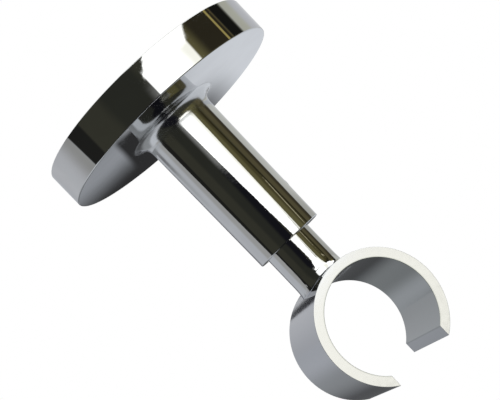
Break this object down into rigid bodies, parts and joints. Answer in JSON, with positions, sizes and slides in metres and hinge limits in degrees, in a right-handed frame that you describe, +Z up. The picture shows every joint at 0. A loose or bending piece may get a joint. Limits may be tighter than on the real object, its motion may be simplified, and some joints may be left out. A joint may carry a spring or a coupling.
{
  "type": "curtain pole bracket",
  "caption": "Short ceiling bracket for a round curtain pole: a hollow rosette with a tapered sleeve over a ceiling plate, and a rod that ends in an open ring for the pole.",
  "frame": {"origin": "centre of the rosette's back, on the ceiling", "axes": "+Z up into the ceiling along the sleeve's axis, +Y along the pole, +X towards the side with the grub screw"},
  "size_m": [0.0458, 0.0458, 0.0679],
  "materials": {
    "chromed_casting": "mirror-bright chrome plate on a zinc casting",
    "chromed_ring": "chrome plate on a zinc casting, bright on the rod and satin on the ring",
    "zinc_plated_plate": "bright zinc plate on stamped steel",
    "zinc_plated_stud": "zinc plate on a turned and threaded stud",
    "plated_screw": "nickel plate on a headless screw"
  },
  "bodies": {
    "root": {"rosette": "chromed_casting", "pole_ring": "chromed_ring", "ceiling_plate": "zinc_plated_plate", "threaded_stud": "zinc_plated_stud", "grub_screw": "plated_screw"}
  },
  "joints": []
}
